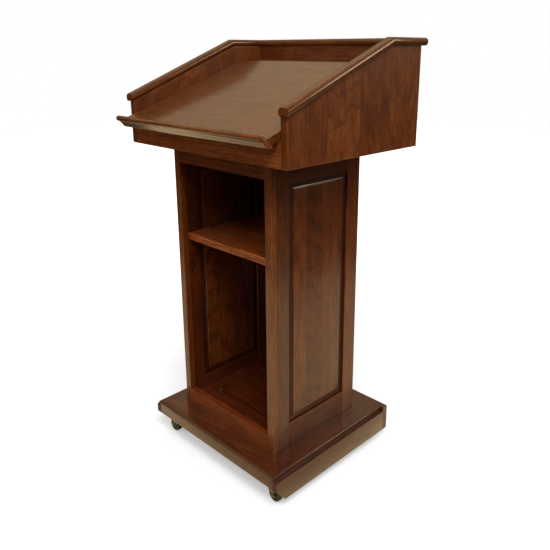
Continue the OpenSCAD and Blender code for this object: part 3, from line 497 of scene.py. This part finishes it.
# Side frames and back frame. Cherry stiles and rails grooved for a raised panel and glued,
# with two rows of holes inside for the shelf pins.
side_tones = (stain(46, 17, 4), stain(76, 32, 9), stain(100, 50, 17))
rear_tones = (stain(58, 22, 6), stain(92, 41, 12), stain(118, 61, 22))
frame_edge = dict(radius=0.0018, steps=3)
for k, side in enumerate(("left", "right")):
    for j, (which, tones) in enumerate((("front", side_tones), ("rear", rear_tones))):
        dress(f"{side}_{which}_stile", stained_cherry(f"cherry_{side}_{which}_stile", UP, BACK, tones,
              seed=57.0 + 5 * k + 2 * j, figure=0.16, coat=0.6), **frame_edge)
    dress(side + "_rails", stained_cherry(f"cherry_{side}_rails", BACK, UP, side_tones,
          seed=61.0 + 5 * k, figure=0.18, coat=0.3), **frame_edge)
dress("back_stiles", stained_cherry("cherry_back_stiles", UP, ACROSS, side_tones,
      seed=71.0, figure=0.16), **frame_edge)
dress("back_rails", stained_cherry("cherry_back_rails", ACROSS, UP, side_tones,
      seed=72.0, figure=0.18), **frame_edge)

# Raised panels. Cherry boards glued side by side; a cove cut round both faces leaves a
# raised field and a thin tongue, which lies dry in the grooves of the frames.
panel_tones = (stain(56, 22, 6), stain(90, 41, 13), stain(116, 62, 24))
# darker tones for the panels' coves and the skirts' hollow: painted shade
painted_shade_tones = (stain(34, 10, 3), stain(56, 19, 5), stain(74, 30, 9))
in_groove, flat_border, tongue, field_edge = 0.008, 0.0062, 0.003, 0.0006
cove, cove_turn, cove_steps = 0.023, 36.4, 8
below_field, tipped = 0.0009, 0.05
for k, (name, out_way, along_way) in enumerate((
        ("left_panel", 0, BACK), ("right_panel", 0, BACK), ("back_panel", 1, ACROSS))):
    low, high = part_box(name)
    centre, half = (low + high) / 2, (high[out_way] - low[out_way]) / 2
    low[out_way], high[out_way] = centre[out_way] - tongue, centre[out_way] + tongue
    panel = block("raised_" + name, low, high)
    pick("faces", lambda f: abs(f.normal[out_way]) > square_on)
    bpy.ops.mesh.inset(thickness=in_groove + flat_border)
    # the cove is an arc that rises from the tongue to the field, step by step
    gone, risen = 0.0, tongue
    for step in range(1, cove_steps + 1):
        turned = math.radians(cove_turn * step / cove_steps)
        across, raised = cove * math.sin(turned), min(tongue + cove * (1 - math.cos(turned)), half)
        bpy.ops.mesh.inset(thickness=across - gone)
        grown = [1.0, 1.0, 1.0]
        grown[out_way] = raised / risen
        bpy.ops.transform.resize(value=grown)
        gone, risen = across, raised
    pick("edges", lambda e: abs(abs(middle(e)[out_way] - centre[out_way]) - half) < hair)
    round_over(field_edge, 2)
    glued = dict(boards=0.062, joint=-0.041, seed=75.0 + 225 * k, board_tone=0.34, figure=0.2)
    finish(panel, "lectern", [name], "panel_cherry",
           stained_cherry("cherry_" + name, UP, along_way, panel_tones, coat=0.6, **glued),
           stained_cherry("cherry_shaded_cove_" + name, UP, along_way, painted_shade_tones, roughness=0.34, coat=1.0, **glued),
           stained_cherry("cherry_shaded_long_cove_" + name, UP, along_way, painted_shade_tones, roughness=0.5, coat=0.0, **glued))
    # the coves get darker tones, which are painted shade, and only those at the top and the bottom are polished
    for face in panel.data.polygons:
        if abs(face.center[out_way] - centre[out_way]) < half - below_field:
            face.material_index = 1 if abs(face.normal.z) > tipped else 2

# Inside the column. A cherry floor on two bare battens, and a cherry shelf with edges rubbed
# paler, which lies loose on four steel pins.
# the floor's tones are darker than the shelf's: painted shade inside the column
dress("column_floor", stained_cherry("cherry_column_floor_shaded", ACROSS, BACK,
      (stain(52, 18, 5), stain(80, 32, 10), stain(104, 50, 18)), seed=101.0, figure=0.3, coat=0.5))
# the shelf's paler tones are painted light, for the light that reaches it from the front
dress("shelf", stained_cherry("cherry_shelf_lit", ACROSS, BACK,
      (stain(78, 34, 13), stain(136, 68, 28), stain(166, 100, 50)), seed=103.0, figure=0.3, coat=0.5), edge=1.9)
dress("floor_battens", stained_cherry("bare_battens", BACK, UP, bare_tones, seed=105.0, **bare), edge=1.1)

# Base. A top of four mitred boards round a middle one, with skirts glued round it: moulded
# with a round and a hollow along the sides, with a small round at the front, and plain at the
# back. The side skirts have a toe cut. All of it is stained cherry, polished.
base_tones = (stain(50, 19, 5), stain(82, 36, 11), stain(112, 58, 22))
side_base_tones = (stain(42, 13, 3), stain(68, 26, 6), stain(94, 44, 14))
polish = dict(roughness=0.4, coat=0.9, haze=0.06)
border = 0.10
base_low, base_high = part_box("base_top")


def base_corner(towards):
    """The corner of the top's underside that lies that way."""
    return Vector((base_high.x if towards.x > 0 else base_low.x,
                   base_high.y if towards.y > 0 else base_low.y, base_low.z))


for k, (side, way_out, run, tones) in enumerate((
        ("front", -BACK, ACROSS, base_tones), ("right", ACROSS, BACK, side_base_tones),
        ("rear", BACK, -ACROSS, side_base_tones), ("left", -ACROSS, -BACK, side_base_tones))):
    low, high = base_low.copy(), base_high.copy()
    axis = 0 if way_out.x else 1
    if way_out[axis] > 0:
        low[axis] = base_high[axis] - border
    else:
        high[axis] = base_low[axis] + border
    board = block("base_board_" + side, low, high)
    # both ends are mitred from the corners
    for sign in (1, -1):
        bpy.ops.mesh.select_all(action="SELECT")
        bpy.ops.mesh.bisect(plane_co=base_corner(run * sign + way_out),
                            plane_no=(run * sign - way_out).normalized(), use_fill=True, clear_outer=True)
    finish(board, "lectern", ["base_top"], "base_cherry", stained_cherry("cherry_base_" + side, run, way_out,
           tones, seed=111.0 + 3 * k, figure=0.26, **polish))
inward = Vector((border, border, 0))
filling = block("base_board_middle", base_low + inward, base_high - inward)
finish(filling, "lectern", ["base_top"], "base_cherry", stained_cherry("cherry_base_middle", ACROSS, BACK,
       base_tones, boards=0.1, joint=0.0, seed=125.0, board_tone=0.2, figure=0.3, **polish))

skirt_tones = (stain(50, 22, 7), stain(74, 36, 12), stain(94, 50, 20))
skirt_lacquer = dict(coat=0.7, haze=0.1)
dress("skirt_back", stained_cherry("cherry_skirt_back", ACROSS, UP, skirt_tones, seed=112.0, **skirt_lacquer))
foot, toe_top, toe_high, toe_long, top = 0.030, 0.068, 0.038, 0.034, 0.108
hollow_foot, hollow_in, hollow_out = 0.0945, 0.2588, 0.2695
sharp_turn, round_from = 0.6, 0.1


def sharp_below(edge):
    """An arris of a skirt below its rounded top."""
    return (len(edge.link_faces) == 2 and edge.calc_face_angle(0) > sharp_turn
            and middle(edge).z < round_from)


# up the face, in along a hollow, and over a small round at the top
skirt_outline = (
    [(0.251, foot), (0.270, foot), (0.270, hollow_foot), (0.2685, hollow_foot)]
    + arc((0.2685, 0.104), 0.0095, 270, 180, 8)[1:]
    + arc((0.255, 0.104), 0.004, 0, 90, 6)[1:] + [(0.251, top)])
for k, (side, sign) in enumerate((("left", -1), ("right", 1))):
    low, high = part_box("skirt_" + side)
    skirt = section("moulded_skirt_" + side, skirt_outline, low.y, high.y, lambda y, a, b: Vector((sign * a, y, b)))
    bpy.ops.mesh.select_all(action="SELECT")
    bpy.ops.mesh.bisect(plane_co=(0, low.y, toe_top), plane_no=Vector((0, -toe_high, -toe_long)).normalized(),
                        use_fill=True, clear_outer=True)
    pick("edges", sharp_below)
    round_over(arris, 2)
    seed = 115.0 + 3 * k
    finish(skirt, "lectern", ["skirt_" + side], "base_cherry",
           stained_cherry("cherry_skirt_" + side, BACK, UP, skirt_tones, seed=seed, **skirt_lacquer),
           stained_cherry("cherry_shaded_hollow_" + side, BACK, UP, painted_shade_tones, seed=seed, roughness=0.5, coat=0.0),
           angle=moulding_angle)
    for face in skirt.data.polygons:
        # the hollow gets the darker tones, which are painted shade
        face.material_index = int(hollow_in < abs(face.center.x) < hollow_out and face.center.z > hollow_foot)
low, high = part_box("skirt_front")
front_outline = (
    [(-0.213, toe_top), (-0.232, toe_top), (-0.232, 0.1025), (-0.2305, 0.1025)]
    + arc((-0.2265, 0.104), 0.004, 180, 90, 6) + [(-0.213, top)])
skirt = section("moulded_skirt_front", front_outline, low.x, high.x, lambda x, a, b: Vector((x, a, b)))
pick("edges", sharp_below)
round_over(arris, 2)
finish(skirt, "lectern", ["skirt_front"], "base_cherry", stained_cherry("cherry_skirt_front", ACROSS, UP,
       skirt_tones, seed=119.0, coat=0.5), angle=moulding_angle)

# Corner blocks under the base. Blocks of bare wood, glued in the corners of the skirts; the
# casters are screwed to them.
dress("corner_blocks", stained_cherry("bare_blocks", ACROSS, BACK, bare_tones, seed=121.0, **bare), edge=1.1)

# Casters. A plated plate with a ball race, a folded fork, an axle, and a black wheel with
# rounded shoulders and a hub; the front two have a black brake pedal.
dark_zinc = plated("dark_zinc", stain(120, 122, 118), stain(84, 86, 82))
fit(("caster_plates", "fork_front_left", "fork_front_right", "fork_rear_left", "fork_rear_right"),
    dark_zinc, 0.0004)
black_pedal = plated("black_pedal", stain(22, 24, 22), stain(36, 38, 35), metallic=0.0)
fit(("brake_front_left", "brake_front_right"), black_pedal, 0.0006)
tread = plated("black_tread", stain(20, 24, 21), stain(42, 46, 41), metallic=0.0)
wheel_radius, wheel_wide, shoulder = 0.0205, 0.018, 0.003
nothing_picked()
bpy.ops.mesh.primitive_cylinder_add(vertices=64, radius=wheel_radius, depth=wheel_wide,
                                    rotation=(math.pi / 2, 0, 0))
bpy.ops.object.transform_apply(location=True, rotation=True, scale=True)
turned_wheel = bpy.context.object
bpy.ops.object.mode_set(mode="EDIT")
pick("faces", lambda f: abs(f.normal.y) > square_on)
# the rim is left full, the web is sunk, and the hub stands out of it again
for land, step_in, spread in ((0.0062, 0.0006, 0.80), (0.0058, 0.0005, 1.30)):
    bpy.ops.mesh.inset(thickness=land)
    bpy.ops.mesh.inset(thickness=step_in)
    bpy.ops.transform.resize(value=(1, spread, 1))
pick("edges", lambda e: abs(abs(middle(e).y) - wheel_wide / 2) < hair
     and Vector((middle(e).x, middle(e).z)).length > wheel_radius - hair)
round_over(shoulder, 5)
bpy.ops.object.mode_set(mode="OBJECT")
wheel_shape = turned_wheel.data
bpy.data.objects.remove(turned_wheel)
for name in ("front_left", "front_right", "rear_left", "rear_right"):
    low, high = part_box("wheel_" + name)
    wheel = bpy.data.objects.new("caster_wheel_" + name, wheel_shape.copy())
    wheel.data.name = wheel.name
    wheel.data.transform(Matrix.Translation((low + high) / 2))
    bpy.context.scene.collection.objects.link(wheel)
    finish(wheel, "wheel_" + name, ["wheel_" + name], "caster_wheel", tread)

# The stand for the picture. A pale floor that the camera sees as white paper with the
# lectern's soft shadow, an even room of light, three lamps, and the camera.
nothing_picked()
bpy.ops.mesh.primitive_plane_add(size=16, location=(0, 0, 0))
floor = bpy.context.object
floor.name = "pale_floor"
paper = empty_finish("pale_paper")
tree = paper.node_tree
place = put(tree, "ShaderNodeTexCoord").outputs["Object"]
seen = put(tree, "ShaderNodeLightPath").outputs["Is Camera Ray"]
# the paper's colour holds a painted pool of warm light round a point behind the lectern on the left, painted dark
# beyond it; the wood takes this light back
painted_pool_paper, painted_dark_paper, seen_paper = (0.98, 0.82, 0.53, 1), (0.03, 0.025, 0.018, 1), (0.78, 0.84, 0.95, 1)
pool_middle, pool_fades, pool_ends = (-0.45, 0.45, 0.0), 1.5, 2.15
pool = put(tree, "ShaderNodeVectorMath", {0: place, 1: pool_middle}, operation="DISTANCE")
far = graded(tree, pool.outputs["Value"], pool_fades, pool_ends, interpolation_type="SMOOTHSTEP")
shade = blend_colours(tree, far, painted_pool_paper, painted_dark_paper)
shade = blend_colours(tree, seen, shade, seen_paper)
pale = put(tree, "ShaderNodeBsdfDiffuse", {"Color": shade})
# the camera sees it lifted to white, and less so close to the lectern, where its shadow lies
away = put(tree, "ShaderNodeVectorMath", {0: place, 1: (0, 0, 0)}, operation="DISTANCE")
shadow_keeps, white_from, least_lift = 0.55, 1.5, 0.38
fill = graded(tree, away.outputs["Value"], shadow_keeps, white_from, start=least_lift)
lift = put(tree, "ShaderNodeEmission", {"Color": (1, 1, 1, 1), "Strength": fill})
both = put(tree, "ShaderNodeAddShader", {0: pale.outputs[0], 1: lift.outputs[0]})
choice = put(tree, "ShaderNodeMixShader", {0: seen, 1: pale.outputs[0], 2: both.outputs[0]})
put(tree, "ShaderNodeOutputMaterial", {"Surface": choice.outputs[0]})
floor.data.materials.append(paper)

world = bpy.data.worlds.new("studio")
bpy.context.scene.world = world
world.use_nodes = True
tree = world.node_tree
tree.nodes.clear()
rays = put(tree, "ShaderNodeLightPath").outputs
look = put(tree, "ShaderNodeSeparateXYZ", {0: put(tree, "ShaderNodeTexCoord").outputs["Generated"]})
room_tint, mirrored_tint, white = (1.0, 0.90, 0.76, 1), (1.0, 0.80, 0.50, 1), (1, 1, 1, 1)
# the walls are brighter towards the ceiling
low_wall, high_wall, dim, bright = 0.10, 0.55, 0.06, 0.51
wall = graded(tree, look.outputs["Z"], low_wall, high_wall, dim, bright)
# the wall on the right is darker where the lacquer mirrors it
right_from, right_full, right_keeps = -0.1, 0.5, 0.25
right_wall = graded(tree, look.outputs["X"], right_from, right_full, start=1.0, end=right_keeps)
mirrored = put(tree, "ShaderNodeMix", {0: rays["Is Glossy Ray"], 2: 1.0, 3: right_wall}, data_type="FLOAT")
wall = reckon(tree, "MULTIPLY", wall, mirrored.outputs[0])
# the camera sees a white backdrop
backdrop = reckon(tree, "MAXIMUM", rays["Is Camera Ray"], rays["Is Transmission Ray"])
strength = put(tree, "ShaderNodeMix", {0: backdrop, 2: wall, 3: 1.0}, data_type="FLOAT")
room = blend_colours(tree, rays["Is Glossy Ray"], room_tint, mirrored_tint)
room = blend_colours(tree, backdrop, room, white)
sky = put(tree, "ShaderNodeBackground", {"Color": room, "Strength": strength.outputs[0]})
put(tree, "ShaderNodeOutputWorld", {"Surface": sky.outputs[0]})


def lamp(name, place, at, size, watts, tint=(1.0, 0.95, 0.88), shine=True):
    """A square soft lamp that stands at place and is turned to the point at."""
    data = bpy.data.lights.new(name, "AREA")
    data.shape, data.size, data.energy, data.color = "SQUARE", size, watts, tint
    made = bpy.data.objects.new(name, data)
    made.location, made.visible_glossy = place, shine
    made.rotation_euler = (Vector(at) - Vector(place)).to_track_quat("-Z", "Y").to_euler()
    bpy.context.scene.collection.objects.link(made)


lamp("key", place=(1.9, -1.4, 3.3), at=(0, 0, 0.7), size=1.5, watts=90)
lamp("front_left", place=(-2.2, -2.8, 1.6), at=(0, 0, 0.8), size=1.6, watts=26, shine=False)
lamp("right_rear", place=(2.3, 2.2, 1.9), at=(0.1, 0, 0.9), size=0.9, watts=19, tint=(1.0, 0.86, 0.66))

film_wide, picture_wide, focal_pixels = 36.0, 550, 606.8
looks_down, turned_left = 16.15, 44.40
view = bpy.data.cameras.new("photograph")
view.sensor_fit, view.sensor_width = "HORIZONTAL", film_wide
view.lens = film_wide * focal_pixels / picture_wide
view.shift_x, view.shift_y = -0.03, -0.09
view.clip_start, view.clip_end = 0.05, 100
camera = bpy.data.objects.new("photograph", view)
camera.location = (1.2173, -1.1434, 1.1695)
camera.rotation_euler = (math.radians(90 - looks_down), 0, math.radians(turned_left))
bpy.context.scene.collection.objects.link(camera)
bpy.context.scene.camera = camera
bpy.context.scene.view_settings.view_transform = "Standard"
